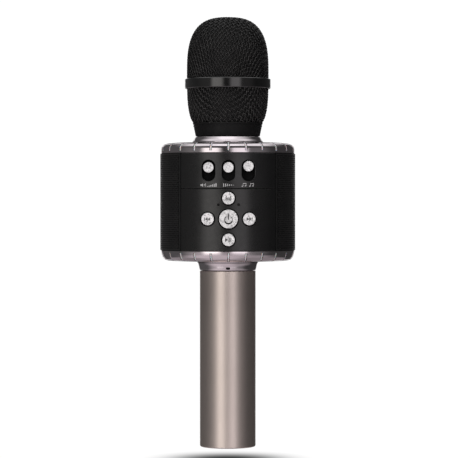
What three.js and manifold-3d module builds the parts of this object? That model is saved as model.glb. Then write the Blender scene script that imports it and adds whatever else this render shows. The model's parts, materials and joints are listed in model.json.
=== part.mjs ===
// Handheld karaoke microphone with a built-in loudspeaker drum.
// Millimetres, +Z up along the handle, controls facing -Y, origin at the centre of the handle's base.
import * as THREE from "three";
import { mergeVertices } from "three/addons/utils/BufferGeometryUtils.js";
import Module from "manifold-3d";

const wasm = await Module();
wasm.setup();

// ---- driving dimensions -------------------------------------------------------------------------

const GAP = 0.3; // clearance kept between neighbouring pieces
const FINE = 48; // facets round the drum
const ROUND = 24; // facets round the head, neck and handle
const COARSE = 16; // facets round the pieces inside
const FRONT = -Math.PI / 2; // direction of the control side in the XY plane

const HANDLE_R = 16.88;
const HANDLE_TOP = 106.6;
const HANDLE_WALL = 1.4;

const DRUM_R = 40.9;
const DRUM_MID = 148.25; // mid height of the drum, which is the same above and below it
const DRUM_HALF = 29.25; // from mid height to the edge of each bezel
const BEZEL_HEIGHT = 6.4;
const BEZEL_R = 40.55;
const BEZEL_WALL = 1.6;
const BEZEL_HOLE_TOP = 18.5;
const BEZEL_HOLE_LOW = 15.8;
const LIGHT_SLOTS = 24;
const LIGHT_SLOT_WIDTH = 1.2;
const LIGHT_SLOT_FROM = 34.5; // radius at which the slots start on the bezel's top

const PANEL_HALF_ANGLE = THREE.MathUtils.degToRad(43.6);
const PANEL_WALL = 2.0;
const PANEL_SPLIT_Z = 156.1; // seam between the slider panel and the button panel
const GRILLE_WALL = 0.6;

const SLOT_WIDTH = 7.8;
const SLOT_HEIGHT = 12.5;
const SLOT_Z = 166.8;
const SLIDER_PITCH = 11.85;
const KNOB_R = 3.25;
const KNOB_Z = { volume: 168.6, echo: 168.6, music: 169.3 };

const BUTTON_R = 3.7;
const POWER_R = 5.55;
const BUTTON_PITCH = 12.3;
const BUTTON_Z = 138.15;
const BUTTON_TRAVEL = 0.6;
const INDICATOR_X = 6.05;
const INDICATOR_Z = 146.6;
const INDICATOR_R = 0.65;

const BOARD_FRONT_Y = -27.5;
const BOARD_THICK = 1.6;

const NECK_TOP = 187.6; // top of the polished neck ring
const COLLAR_BASE = 187.9;
const COLLAR_TOP = 196.2;
const BASKET_BASE = 196.5;
const BAND_BASE = 216.7;
const BAND_TOP = 222.7;
const BAND_R = 26.05;
const DOME_BASE = 219.9;
const DOME_SHOULDER = 226;
const DOME_TOP = 260;
const DOME_R = 24.75;
const DOME_POWER = 2.9; // exponent of the dome's superellipse
const MESH_WALL = 0.6;

const SPEAKER_FACE_X = 32.6;
const SPEAKER_R = 18;

// ---- solids and booleans ------------------------------------------------------------------------

/** A closed geometry as a manifold-3d solid. */
function solid(geometry) {
  const bare = new THREE.BufferGeometry().setAttribute(
    "position",
    (geometry.index ? geometry.toNonIndexed() : geometry).getAttribute("position"),
  );
  const merged = mergeVertices(bare, 1e-3);
  const corners = merged.index.array;
  const faces = [];
  for (let i = 0; i < corners.length; i += 3) {
    const [a, b, c] = corners.slice(i, i + 3);
    if (a !== b && b !== c && a !== c) faces.push(a, b, c);
  }
  return new wasm.Manifold(
    new wasm.Mesh({
      numProp: 3,
      vertProperties: merged.attributes.position.array,
      triVerts: new Uint32Array(faces),
    }),
  );
}

/** A manifold-3d solid as a three.js geometry. */
function geometryOf(made) {
  const mesh = made.getMesh();
  const geometry = new THREE.BufferGeometry();
  geometry.setAttribute("position", new THREE.BufferAttribute(mesh.vertProperties, 3));
  geometry.setIndex(new THREE.BufferAttribute(mesh.triVerts, 1));
  geometry.computeVertexNormals();
  return geometry;
}

/** The first geometry with the others joined to it. */
function join(first, ...others) {
  return geometryOf(others.reduce((sum, g) => sum.add(solid(g)), solid(first)));
}

/** The first geometry with the others cut from it. */
function cut(first, ...others) {
  return geometryOf(others.reduce((rest, g) => rest.subtract(solid(g)), solid(first)));
}

/** The part that two geometries share. */
function common(first, second) {
  return geometryOf(solid(first).intersect(solid(second)));
}

/** A solid of revolution about Z. The profile's [radius, z] points run counter-clockwise. */
function turned(profile, segments = ROUND) {
  const points = profile.map(([r, z]) => new THREE.Vector2(r, z));
  const onAxis = profile[0][0] === 0 && profile.at(-1)[0] === 0;
  if (!onAxis) points.push(points[0].clone());
  return new THREE.LatheGeometry(points, segments).rotateX(Math.PI / 2);
}

/** A flat ring or, with an inner radius of 0, a disc. */
function ring(outer, inner, low, high, segments = ROUND) {
  const profile = [
    [inner, low],
    [outer, low],
    [outer, high],
    [inner, high],
  ];
  return turned(profile, segments);
}

/** A box between two corners. */
function block([x0, y0, z0], [x1, y1, z1]) {
  return new THREE.BoxGeometry(x1 - x0, y1 - y0, z1 - z0).translate(
    (x0 + x1) / 2,
    (y0 + y1) / 2,
    (z0 + z1) / 2,
  );
}

/** A curved plate about Z: part of a tube, centred on the direction `middle`. */
function curvedPlate(outer, inner, middle, halfAngle, low, high, steps) {
  const shape = new THREE.Shape();
  shape.absarc(0, 0, outer, middle - halfAngle, middle + halfAngle, false);
  shape.absarc(0, 0, inner, middle + halfAngle, middle - halfAngle, true);
  return new THREE.ExtrudeGeometry(shape, {
    depth: high - low,
    bevelEnabled: false,
    curveSegments: steps,
  }).translate(0, 0, low);
}

/** Turns a solid that was built about Z so that its +Z points along -Y, then places its axis. */
function facingFront(geometry, x, z) {
  return geometry.rotateX(Math.PI / 2).translate(x, 0, z);
}

/** A round rod along Y, from yBack to yFront, where yFront is the more negative. */
function rodY(radius, x, z, yBack, yFront, segments = 16) {
  return facingFront(ring(radius, 0, -yBack, -yFront, segments), x, z);
}

/** A prism along Y with round ends, for slots and the bosses in them. */
function stadiumY(width, height, x, z, yBack, yFront, arcSteps = 7) {
  const r = width / 2;
  const straight = height / 2 - r;
  const shape = new THREE.Shape();
  shape.absarc(0, straight, r, 0, Math.PI, false);
  shape.absarc(0, -straight, r, Math.PI, 2 * Math.PI, false);
  const options = { depth: yBack - yFront, bevelEnabled: false, curveSegments: arcSteps };
  return facingFront(new THREE.ExtrudeGeometry(shape, options).translate(0, 0, -yBack), x, z);
}

/** A round cable through the points given. */
function cable(radius, points, steps = 14) {
  const shape = new THREE.Shape();
  shape.absarc(0, 0, radius, 0, 2 * Math.PI, false);
  return new THREE.ExtrudeGeometry(shape, {
    extrudePath: new THREE.CatmullRomCurve3(points.map((p) => new THREE.Vector3(...p))),
    steps,
    curveSegments: 3,
    bevelEnabled: false,
  });
}

/** The depth, as a negative Y, of a drum surface of radius r at a distance x from the middle. */
function surfaceY(r, x) {
  return -Math.sqrt(r * r - x * x);
}

// ---- materials ----------------------------------------------------------------------------------

const material = (color, roughness, metalness) =>
  new THREE.MeshStandardMaterial({ color, roughness, metalness });

const BLACK_MESH = material(0x1c1c1c, 0.45, 0.8);
const BLACK_GLOSS = material(0x101010, 0.15, 0.3);
const BLACK_PLASTIC = material(0x161616, 0.5, 0);
const PANEL_BLACK = material(0x1a1a1a, 0.42, 0);
const ROSE_METAL = material(0xc9b4bd, 0.15, 1);
const CHAMPAGNE = material(0xb8a499, 0.35, 1);
const SILVER = material(0xd8d8d8, 0.28, 0.9);
const STEEL = material(0xa8a8a8, 0.35, 1);
const LIGHT_GUIDE = material(0xf0eef0, 0.3, 0);
const BOARD_GREEN = material(0x1c5a34, 0.5, 0);
const FOAM = material(0x2a2a2a, 0.95, 0);
const RUBBER = material(0x121212, 0.8, 0);
const PAPER = material(0x2b2724, 0.9, 0);
const CELL_WRAP = material(0x2f6fb0, 0.35, 0);
const COPPER_RED = material(0x8a1f1f, 0.5, 0);

const microphone = new THREE.Group();
microphone.name = "karaoke_microphone";

/** Adds a named piece to a group. */
function add(name, geometry, finish, parent = microphone) {
  const mesh = new THREE.Mesh(geometry, finish);
  mesh.name = name;
  parent.add(mesh);
  return mesh;
}

// ---- head: wire grille, band, threaded collar and foam ------------------------------------------

/** Points of the dome's profile from its shoulder to the top, inset from the outside. */
function domeProfile(inset, steps) {
  const points = [];
  for (let i = 0; i <= steps; i++) {
    const t = (i / steps) * (Math.PI / 2);
    const r = (DOME_R - inset) * Math.cos(t) ** (2 / DOME_POWER);
    const z = (DOME_TOP - DOME_SHOULDER - inset) * Math.sin(t) ** (2 / DOME_POWER);
    points.push([i === steps ? 0 : r, DOME_SHOULDER + z]);
  }
  return points;
}

/** Points of the lower basket's outside, from its foot to the band. */
const BASKET_PROFILE = [
  [21.2, BASKET_BASE],
  [22.8, 199.7],
  [23.8, 204],
  [24.5, 211],
  [24.75, DOME_BASE - GAP],
];

function buildHead() {
  const inset = (profile, by) => profile.map(([r, z]) => [r - by, z]);

  const domeOutside = [[DOME_R, DOME_BASE], ...domeProfile(0, 7)];
  const domeInside = [[DOME_R - MESH_WALL, DOME_BASE], ...domeProfile(MESH_WALL, 6)];
  add("grille_dome", turned([...domeOutside, ...domeInside.reverse()]), BLACK_MESH);

  const basketInside = inset(BASKET_PROFILE, MESH_WALL).reverse();
  add("grille_basket", turned([...BASKET_PROFILE, ...basketInside]), BLACK_MESH);

  const chamfer = 0.35;
  const bandInner = DOME_R + GAP;
  add("grille_band", turned([
    [bandInner, BAND_BASE],
    [BAND_R - chamfer, BAND_BASE],
    [BAND_R, BAND_BASE + chamfer],
    [BAND_R, BAND_TOP - chamfer],
    [BAND_R - chamfer, BAND_TOP],
    [bandInner, BAND_TOP],
  ]), BLACK_GLOSS);

  add("head_collar", turned([
    [17.5, COLLAR_BASE],
    [19.45, COLLAR_BASE],
    [20.7, 194.2],
    [21.1, 194.7],
    [21.1, COLLAR_TOP],
    [17.5, COLLAR_TOP],
  ]), BLACK_PLASTIC);

  const foamInset = MESH_WALL + GAP;
  const foamWall = 3;
  const foamFoot = 198.4;
  const lower = BASKET_PROFILE.filter(([, z]) => z > foamFoot);
  const foamOutside = [[20.9, foamFoot], ...inset(lower, foamInset + 0.1),
    ...domeProfile(foamInset + 0.1, 5)];
  const foamInside = [[17.9, foamFoot], ...inset(lower, foamInset + foamWall),
    ...domeProfile(foamInset + foamWall, 4)];
  add("foam_liner", turned([...foamOutside, ...foamInside.reverse()]), FOAM);
}

// ---- capsule on its stem, inside the head -------------------------------------------------------

function buildCapsule() {
  const stemTop = 214;
  add("neck_post", turned([
    [15, 180.4],
    [21, 180.4],
    [21, 182],
    [17.2, 182],
    [17.2, 195.4],
    [5.9, 195.4],
    [5.9, 193.8],
    [15, 193.8],
  ]), BLACK_PLASTIC);
  add("capsule_stem", turned([
    [4, 192.4],
    [7.6, 192.4],
    [7.6, 193.5],
    [5.6, 193.5],
    [5.6, stemTop],
    [4, stemTop],
  ], COARSE), BLACK_PLASTIC);
  const cupBase = stemTop + GAP;
  add("capsule_mount", turned([
    [3.2, cupBase],
    [9, cupBase],
    [11, cupBase + 2],
    [11, 224.5],
    [8.7, 224.5],
    [8.7, cupBase + 3],
    [3.2, cupBase + 3],
  ], COARSE), RUBBER);
  add("mic_capsule", turned([
    [0, cupBase + 3.3],
    [8.4, cupBase + 3.3],
    [8.4, 227.2],
    [0, 227.2],
  ], COARSE), STEEL);
}

/** The polished flare between the head and the drum. */
function buildNeckRing() {
  const foot = DRUM_MID + DRUM_HALF + BEZEL_HEIGHT + GAP;
  add("neck_ring", turned([
    [17.7, foot],
    [22.2, foot],
    [20.9, foot + 0.7],
    [20, foot + 2],
    [19.55, NECK_TOP],
    [17.7, NECK_TOP],
  ]), ROSE_METAL);
}

// ---- drum bezels with their light guides and LED boards -----------------------------------------
// Heights here are measured from the drum's mid height, for the upper side.

const BEZEL_TOP = DRUM_HALF + BEZEL_HEIGHT;

/** The bezel's outside, from its lower edge over the shoulder to its flat top. */
const BEZEL_OUTSIDE = [
  [BEZEL_R, DRUM_HALF],
  [BEZEL_R - 0.3, DRUM_HALF + 3.4],
  [BEZEL_R - 1.4, DRUM_HALF + 5.1],
  [BEZEL_R - 3.9, DRUM_HALF + 6.1],
];

function bezel(hole) {
  const inside = [
    [hole, BEZEL_TOP - BEZEL_WALL],
    [37, BEZEL_TOP - BEZEL_WALL],
    [39.2, DRUM_HALF + 3],
    [39.2, DRUM_HALF],
  ];
  const shell = turned([...BEZEL_OUTSIDE, [hole, BEZEL_TOP], ...inside], FINE);
  return cut(shell, ...lightSlots());
}

/** Radial boxes that cut the light slots through the bezel's wall and shoulder. */
function lightSlots() {
  const half = LIGHT_SLOT_WIDTH / 2;
  return Array.from({ length: LIGHT_SLOTS }, (_, i) =>
    block([LIGHT_SLOT_FROM, -half, DRUM_HALF + 1.3], [BEZEL_R + 2, half, BEZEL_TOP + 2])
      .rotateZ(FRONT + (i * 2 * Math.PI) / LIGHT_SLOTS));
}

/** A milky ring that follows the inside of the bezel and shows through its slots. */
function lightGuide() {
  return turned([
    [33.4, DRUM_HALF + 3.1],
    [36.6, DRUM_HALF + 3.1],
    [38, DRUM_HALF + 1.8],
    [38.9, DRUM_HALF + 1.8],
    [38.9, DRUM_HALF + 2.8],
    [36.9, DRUM_HALF + 4.5],
    [33.4, DRUM_HALF + 4.5],
  ]);
}

/** A ring-shaped circuit board with its LEDs. */
function ledBoard() {
  const count = 8;
  const top = DRUM_HALF + 1.5;
  const leds = Array.from({ length: count }, (_, i) =>
    block([33, -1.4, top - 0.2], [35.6, 1.4, top + 1.2]).rotateZ((i * 2 * Math.PI) / count));
  return join(ring(37.2, 29, top - 1.2, top).rotateZ(Math.PI / ROUND), ...leds);
}

function buildBezels() {
  const sides = { upper: BEZEL_HOLE_TOP, lower: BEZEL_HOLE_LOW };
  for (const [side, hole] of Object.entries(sides)) {
    const group = new THREE.Group();
    group.position.z = DRUM_MID;
    if (side === "lower") group.rotation.y = Math.PI;
    microphone.add(group);
    add(`${side}_bezel`, bezel(hole), ROSE_METAL, group);
    add(`${side}_light_guide`, lightGuide(), LIGHT_GUIDE, group);
    add(`${side}_led_board`, ledBoard(), BOARD_GREEN, group);
  }
}

// ---- drum housing, grille and control panels ----------------------------------------------------

const DRUM_LOW = DRUM_MID - DRUM_HALF;
const DRUM_HIGH = DRUM_MID + DRUM_HALF;
const HOUSING_R = 39.8;
const HOUSING_RIM_R = 38.9;
const HOUSING_INNER_R = 37.9;

/** One half of the barrel that carries the speakers: -1 is the front half, 1 the rear half. */
function housingHalf(side) {
  const rim = 1;
  const barrel = turned([
    [HOUSING_INNER_R, DRUM_LOW - rim],
    [HOUSING_RIM_R, DRUM_LOW - rim],
    [HOUSING_RIM_R, DRUM_LOW],
    [HOUSING_R, DRUM_LOW],
    [HOUSING_R, DRUM_HIGH],
    [HOUSING_RIM_R, DRUM_HIGH],
    [HOUSING_RIM_R, DRUM_HIGH + rim],
    [HOUSING_INNER_R, DRUM_HIGH + rim],
  ], 36);
  const yFar = side * 45;
  const yNear = (side * GAP) / 2;
  const half = block(
    [-45, Math.min(yNear, yFar), 100],
    [45, Math.max(yNear, yFar), 200],
  );
  const alongX = (r, from, to) =>
    ring(r, 0, from, to, COARSE).rotateY(Math.PI / 2).translate(0, 0, DRUM_MID);
  const core = ring(HOUSING_INNER_R + 0.4, 0, DRUM_LOW + 5, DRUM_HIGH - 5, 36);
  const seats = cut(
    common(core, alongX(SPEAKER_R + 0.6, -45, 45)),
    alongX(SPEAKER_R + 2, -SPEAKER_FACE_X - GAP, SPEAKER_FACE_X + GAP),
  );
  const made = cut(common(join(barrel, seats), half), alongX(15.5, -45, 45));
  if (side === 1) return made;
  const window = curvedPlate(42, 36, FRONT, PANEL_HALF_ANGLE - 0.06, DRUM_LOW, DRUM_HIGH, 8);
  const seat = curvedPlate(42, PANEL_INNER_R - GAP, FRONT, PANEL_HALF_ANGLE + 0.008,
    DRUM_LOW - 0.1, DRUM_HIGH + 0.1, 8);
  return cut(made, window, seat);
}

const PANEL_INNER_R = DRUM_R - PANEL_WALL;

const SLIDERS = { volume: -SLIDER_PITCH, echo: 0, music: SLIDER_PITCH };
const BUTTONS = {
  power: { x: 0, z: BUTTON_Z, r: POWER_R },
  mode: { x: 0, z: BUTTON_Z + BUTTON_PITCH, r: BUTTON_R },
  play: { x: 0, z: BUTTON_Z - BUTTON_PITCH, r: BUTTON_R },
  previous: { x: -BUTTON_PITCH, z: BUTTON_Z, r: BUTTON_R },
  next: { x: BUTTON_PITCH, z: BUTTON_Z, r: BUTTON_R },
};

/** A curved panel with its openings, and two bosses behind it that carry the circuit board. */
function panel(low, high, bossZ, openings) {
  const plate = curvedPlate(DRUM_R, PANEL_INNER_R, FRONT, PANEL_HALF_ANGLE, low, high, 10);
  const bosses = [-20, 20].map((x) =>
    rodY(1.8, x, bossZ, BOARD_FRONT_Y - GAP, surfaceY(PANEL_INNER_R, 20) - 0.8, 10));
  return cut(join(plate, ...bosses), ...openings);
}

function buildDrum() {
  const edge = 0.3;
  const grilleHalfAngle = Math.PI - PANEL_HALF_ANGLE - 0.01;
  add("speaker_grille", curvedPlate(DRUM_R, DRUM_R - GRILLE_WALL, -FRONT, grilleHalfAngle,
    DRUM_LOW + edge, DRUM_HIGH - edge, 26), BLACK_MESH);
  add("front_housing", housingHalf(-1), BLACK_PLASTIC);
  add("rear_housing", housingHalf(1), BLACK_PLASTIC);

  const slots = Object.values(SLIDERS).map((x) =>
    stadiumY(SLOT_WIDTH, SLOT_HEIGHT, x, SLOT_Z, -30, -45));
  const holes = Object.values(BUTTONS).map(({ x, z, r }) => rodY(r + 0.6, x, z, -30, -45));
  const lamps = [-1, 1].map((s) =>
    rodY(INDICATOR_R + 0.15, s * INDICATOR_X, INDICATOR_Z, -30, -45, 8));
  add("slider_panel", panel(PANEL_SPLIT_Z + edge / 2, DRUM_HIGH - edge, 173, slots),
    PANEL_BLACK);
  add("button_panel", panel(DRUM_LOW + edge, PANEL_SPLIT_Z - edge / 2, 126,
    [...holes, ...lamps]), PANEL_BLACK);
}

// ---- controls: sliders, buttons, indicators and their circuit board -----------------------------

const SHIELD_WIDTH = 9.4;
const SHIELD_UP = 7.9;
const SHIELD_DOWN = 8.9;
const SHIELD_THICK = 0.8;
const POT_DEPTH = 3.4;
const SWITCH_DEPTH = 3.6;

/** The Y just behind the panel that a flat piece of the given half width can reach. */
function behindPanel(x, halfWidth) {
  return surfaceY(PANEL_INNER_R, Math.abs(x) + halfWidth) + GAP;
}

/** A silver disc knob on a black carriage whose shield hides the slot. */
function buildSlider(name, x) {
  const z = KNOB_Z[name];
  const shieldY = behindPanel(x, SHIELD_WIDTH / 2);
  const bossY = surfaceY(DRUM_R, x) + 0.4;
  const faceY = surfaceY(DRUM_R, x) - 1.0;
  const wiperY = BOARD_FRONT_Y - 1.2;
  const shield = block(
    [x - SHIELD_WIDTH / 2, shieldY, z - SHIELD_DOWN],
    [x + SHIELD_WIDTH / 2, shieldY + SHIELD_THICK, z + SHIELD_UP],
  );
  const boss = rodY(3.5, x, z, shieldY + 0.4, bossY, 16);
  const wiper = block([x - 1, shieldY + 0.4, z - 1.5], [x + 1, wiperY, z + 1.5]);
  add(`${name}_carriage`, join(shield, boss, wiper), BLACK_PLASTIC);

  const bevel = 0.35;
  const backY = bossY - 0.1;
  add(`${name}_knob`, facingFront(turned([
    [0, -backY],
    [KNOB_R, -backY],
    [KNOB_R, -faceY - bevel],
    [KNOB_R - bevel, -faceY],
    [0, -faceY],
  ], 14), x, z), SILVER);
}

/** A push-button cap with its retaining flange and the stem that works the switch. */
function buildButton(name, { x, z, r }) {
  const bevel = 0.5;
  const faceY = surfaceY(DRUM_R, x) - (x === 0 ? 1.0 : 1.35);
  const flangeR = r + 0.9;
  const flangeY = behindPanel(x, flangeR);
  const stemTip = BOARD_FRONT_Y - SWITCH_DEPTH + 1.4;
  add(`${name}_button`, facingFront(turned([
    [0, -stemTip],
    [1.4, -stemTip],
    [1.4, -flangeY - 0.8],
    [flangeR, -flangeY - 0.8],
    [flangeR, -flangeY],
    [r, -flangeY],
    [r, -faceY - bevel],
    [r - bevel, -faceY],
    [0, -faceY],
  ], 14), x, z), SILVER);
}

/** The front circuit board with its slide pots, tact switches and connectors soldered on. */
function controlBoard() {
  const back = BOARD_FRONT_Y + BOARD_THICK;
  const plate = block([-22, BOARD_FRONT_Y, 122.5], [22, back, 176]);
  const potHousings = Object.values(SLIDERS).map((x) => cut(
    block([x - 3.4, BOARD_FRONT_Y - POT_DEPTH, SLOT_Z - 8.5],
      [x + 3.4, BOARD_FRONT_Y + 0.4, SLOT_Z + 8.5]),
    block([x - 1.4, BOARD_FRONT_Y - POT_DEPTH - 1, SLOT_Z - 5.4],
      [x + 1.4, BOARD_FRONT_Y - 0.8, SLOT_Z + 5.4]),
  ));
  const switches = Object.values(BUTTONS).map(({ x, z }) => cut(
    block([x - 3, BOARD_FRONT_Y - SWITCH_DEPTH, z - 3], [x + 3, BOARD_FRONT_Y + 0.4, z + 3]),
    rodY(1.75, x, z, BOARD_FRONT_Y - 0.8, BOARD_FRONT_Y - SWITCH_DEPTH - 1, 12),
  ));
  const chips = [
    block([-5, back - 0.4, 152], [5, back + 1.4, 162]),
    block([6, back - 0.4, 134], [14, back + 1.8, 142]),
    block([-3, back - 0.4, 165], [3, back + 3.4, 170]),
    block([-9, back - 0.4, 126], [-3, back + 3.4, 131]),
    block([1, back - 0.4, 126], [9, back + 3.4, 131]),
  ];
  return join(plate, ...potHousings, ...switches, ...chips);
}

function buildControls() {
  for (const [name, x] of Object.entries(SLIDERS)) buildSlider(name, x);
  for (const [name, place] of Object.entries(BUTTONS)) buildButton(name, place);
  for (const [name, side] of [["left", -1], ["right", 1]]) {
    const x = side * INDICATOR_X;
    add(`${name}_indicator`,
      rodY(INDICATOR_R, x, INDICATOR_Z, BOARD_FRONT_Y - GAP, surfaceY(DRUM_R, x) + 0.6, 8),
      LIGHT_GUIDE);
  }
  add("control_board", controlBoard(), BOARD_GREEN);
}

// ---- loudspeakers, one facing each side ---------------------------------------------------------
// Each is turned about Z with u measured inwards from its face, then laid along X.

function buildSpeaker(name, side) {
  const group = new THREE.Group();
  group.position.set(side * SPEAKER_FACE_X, 0, DRUM_MID);
  group.rotation.y = (-side * Math.PI) / 2;
  microphone.add(group);
  add(`${name}_speaker_basket`, turned([
    [16.3, 0],
    [SPEAKER_R, 0],
    [SPEAKER_R, 1.4],
    [16.6, 1.4],
    [10.4, 9],
    [7.9, 9],
    [7.9, 8],
    [9.8, 8],
  ], COARSE), STEEL, group);
  add(`${name}_speaker_surround`, turned([
    [13.5, 0.6],
    [14.5, 0],
    [15.4, 0.6],
    [14.5, 0.8],
  ], COARSE), RUBBER, group);
  add(`${name}_speaker_cone`, turned([
    [0, 3.4],
    [6.2, 5.4],
    [13.2, 0.6],
    [13.2, 1.2],
    [6.9, 6.3],
    [6.9, 11],
    [6.3, 11],
    [6.3, 6.4],
    [0, 4.2],
  ], COARSE), PAPER, group);
  add(`${name}_speaker_magnet`, turned([
    [0, 9.3],
    [5.9, 9.3],
    [5.9, 12.6],
    [7.5, 12.6],
    [7.5, 9.3],
    [10, 9.3],
    [10, 14.8],
    [0, 14.8],
  ], COARSE), STEEL, group);
}

// ---- lower collar, handle and what it holds -----------------------------------------------------

const USB = { x: 0, y: 7.5, width: 8.9, depth: 3.3 };
const CARD = { x: 0.8, y: -7.8, width: 13, depth: 2.6 };
const JACK = { x: -8, y: 0, width: 6.2, r: 1.8 };
const CAP_SCREWS = [[8.6, 7.1], [-8.6, -7.1]];
const TUBE_INNER_R = HANDLE_R - HANDLE_WALL;
const PORT_TOP = 9.6;

function buildCollar() {
  const lockZ = 108.3;
  const shell = turned([
    [15.55, 106.9],
    [17.0, 106.9],
    [17.6, 109.5],
    [18.4, 111.4],
    [18.5, 112.3],
    [15.55, 112.3],
  ]);
  const screwHole = stadiumY(1.5, 2.6, 0, 0, -14, -19)
    .rotateY(Math.PI / 2)
    .translate(0, 0, lockZ);
  add("lower_collar", cut(shell, screwHole), ROSE_METAL);
  add("handle_set_screw", rodY(0.6, 0, lockZ, -15.5, -17, 8), STEEL);
  add("handle_spigot", turned([
    [12.4, 94],
    [15.2, 94],
    [15.2, 114.5],
    [20, 114.5],
    [20, 116.1],
    [12.4, 116.1],
  ]), BLACK_PLASTIC);
}

function buildHandle() {
  const edge = 0.5;
  add("handle_tube", turned([
    [TUBE_INNER_R, 0],
    [HANDLE_R - edge, 0],
    [HANDLE_R, edge],
    [HANDLE_R, HANDLE_TOP],
    [TUBE_INNER_R, HANDLE_TOP],
  ]), CHAMPAGNE);
}

/** The cup that closes the handle, with openings for the ports and the two screws. */
function endCap() {
  const wallInner = 13.9;
  const cup = turned([
    [0, 0],
    [TUBE_INNER_R - GAP, 0],
    [TUBE_INNER_R - GAP, 9],
    [wallInner, 9],
    [wallInner, 1.6],
    [0, 1.6],
  ]);
  const usbHole = block([USB.x - 4.7, USB.y - 1.9, -1], [USB.x + 4.7, USB.y + 1.9, 3]);
  const cardHole = block([CARD.x - 5.9, CARD.y - 0.8, -1], [CARD.x + 5.9, CARD.y + 0.8, 3]);
  const jackHole = ring(2.6, 0, -1, 3, 16).translate(JACK.x, JACK.y, 0);
  const screwHoles = CAP_SCREWS.map(([x, y]) => turned([
    [0, -1],
    [2.3, -1],
    [2.3, 0.35],
    [1.3, 1.3],
    [1.3, 3],
    [0, 3],
  ], 12).translate(x, y, 0));
  return cut(cup, usbHole, cardHole, jackHole, ...screwHoles);
}

function buildPorts() {
  const low = 1.9;
  const usbShell = cut(
    block([USB.x - USB.width / 2, USB.y - USB.depth / 2, 0.4],
      [USB.x + USB.width / 2, USB.y + USB.depth / 2, PORT_TOP]),
    block([USB.x - 4, USB.y - 1.2, 0], [USB.x + 4, USB.y + 1.2, 6.6]),
  );
  const tongue = block([USB.x - 3.2, USB.y - 0.35, 2], [USB.x + 3.2, USB.y + 0.35, 7]);
  add("usb_socket", join(usbShell, tongue), STEEL);

  add("card_slot", cut(
    block([CARD.x - CARD.width / 2, CARD.y - CARD.depth / 2, low],
      [CARD.x + CARD.width / 2, CARD.y + CARD.depth / 2, PORT_TOP]),
    block([CARD.x - 5.6, CARD.y - 0.55, 0], [CARD.x + 5.6, CARD.y + 0.55, 8]),
  ), STEEL);

  const jackBody = join(
    block([JACK.x - JACK.width / 2, JACK.y - JACK.width / 2, low],
      [JACK.x + JACK.width / 2, JACK.y + JACK.width / 2, PORT_TOP]),
    ring(2.3, 0, 0.3, low + 0.5, 16).translate(JACK.x, JACK.y, 0),
  );
  const bore = ring(JACK.r, 0, 0, 8, 16).translate(JACK.x, JACK.y, 0);
  add("audio_jack", cut(jackBody, bore), BLACK_PLASTIC);

  const notches = CAP_SCREWS.map(([x, y]) => ring(2.7, 0, 8, 13, 12).translate(x, y, 0));
  const plate = ring(13.6, 0, PORT_TOP + GAP, PORT_TOP + GAP + 1.2, COARSE);
  add("port_board", cut(plate, ...notches), BOARD_GREEN);

  CAP_SCREWS.forEach(([x, y], i) => {
    add(`end_cap_screw_${i + 1}`, turned([
      [0, 0.25],
      [2.0, 0.25],
      [2.0, 0.5],
      [1.0, 1.4],
      [1.0, 7],
      [0, 7],
    ], 10).translate(x, y, 0), STEEL);
  });
}

/** The plastic cradle that holds the cell and takes the end cap's screws. */
function batteryHolder() {
  const outer = 15.1;
  const cellR = 9.5;
  const ends = [[14, 16.8], [83.2, 86]].map(([low, high]) =>
    ring(outer, 7, low, high, COARSE));
  const trough = curvedPlate(10.9, cellR, FRONT, 1.9, 15, 85, 12);
  const posts = CAP_SCREWS.map(([x, y]) => ring(2.3, 0, 1.9, 15, 10).translate(x, y, 0));
  const bores = CAP_SCREWS.map(([x, y]) => ring(1.25, 0, 1, 8, 8).translate(x, y, 0));
  const cablePass = block([-3, 9.9, 10], [3, 16, 90]);
  return cut(join(ends[0], ends[1], trough, ...posts), ...bores, cablePass);
}

function buildPower() {
  add("battery_holder", batteryHolder(), BLACK_PLASTIC);
  add("battery_cell", turned([
    [0, 17.3],
    [8.9, 17.3],
    [9.1, 17.7],
    [9.1, 81.7],
    [8.7, 82.1],
    [2.8, 82.1],
    [2.8, 82.9],
    [0, 82.9],
  ], COARSE), CELL_WRAP);
}

// ---- cables held inside the body ----------------------------------------------------------------

function buildCables() {
  add("mic_lead", cable(0.9, [
    [0, 0, 213], [0, 0, 195], [0.5, -3, 182], [1, -11, 176], [0.6, -18, 171], [0, -21.6, 167.6],
  ]), RUBBER);
  add("battery_lead", cable(1.1, [
    [0, 0, 83.4], [0, 0, 108], [-2, -5, 116], [-5, -13, 122], [-6, -18, 126], [-6, -21.4, 128.6],
  ]), COPPER_RED);
  add("port_cable", cable(1.2, [
    [0, 12.6, 11.5], [0, 12.6, 45], [0, 12.4, 82], [0.4, 10.2, 95], [1, 9, 110],
    [3, 4, 121], [5, -8, 127], [5, -17, 129], [5, -21.4, 128.6],
  ], 20), RUBBER);
}

buildHead();
buildCapsule();
buildNeckRing();
buildBezels();
buildDrum();
buildControls();
buildSpeaker("left", -1);
buildSpeaker("right", 1);
buildCollar();
buildHandle();
add("end_cap", endCap(), BLACK_PLASTIC);
buildPorts();
buildPower();
buildCables();

export default microphone;
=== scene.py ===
"""Handheld karaoke microphone with a loudspeaker drum: the detailed visual model.

Lengths are in millimetres while a piece is built and become metres when its mesh is made.
The axis of the microphone is Z, its controls face -Y, and its base is at z = 0.
"""

import json
import math

import bpy
import numpy as np
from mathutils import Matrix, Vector
from mathutils.geometry import delaunay_2d_cdt


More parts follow.
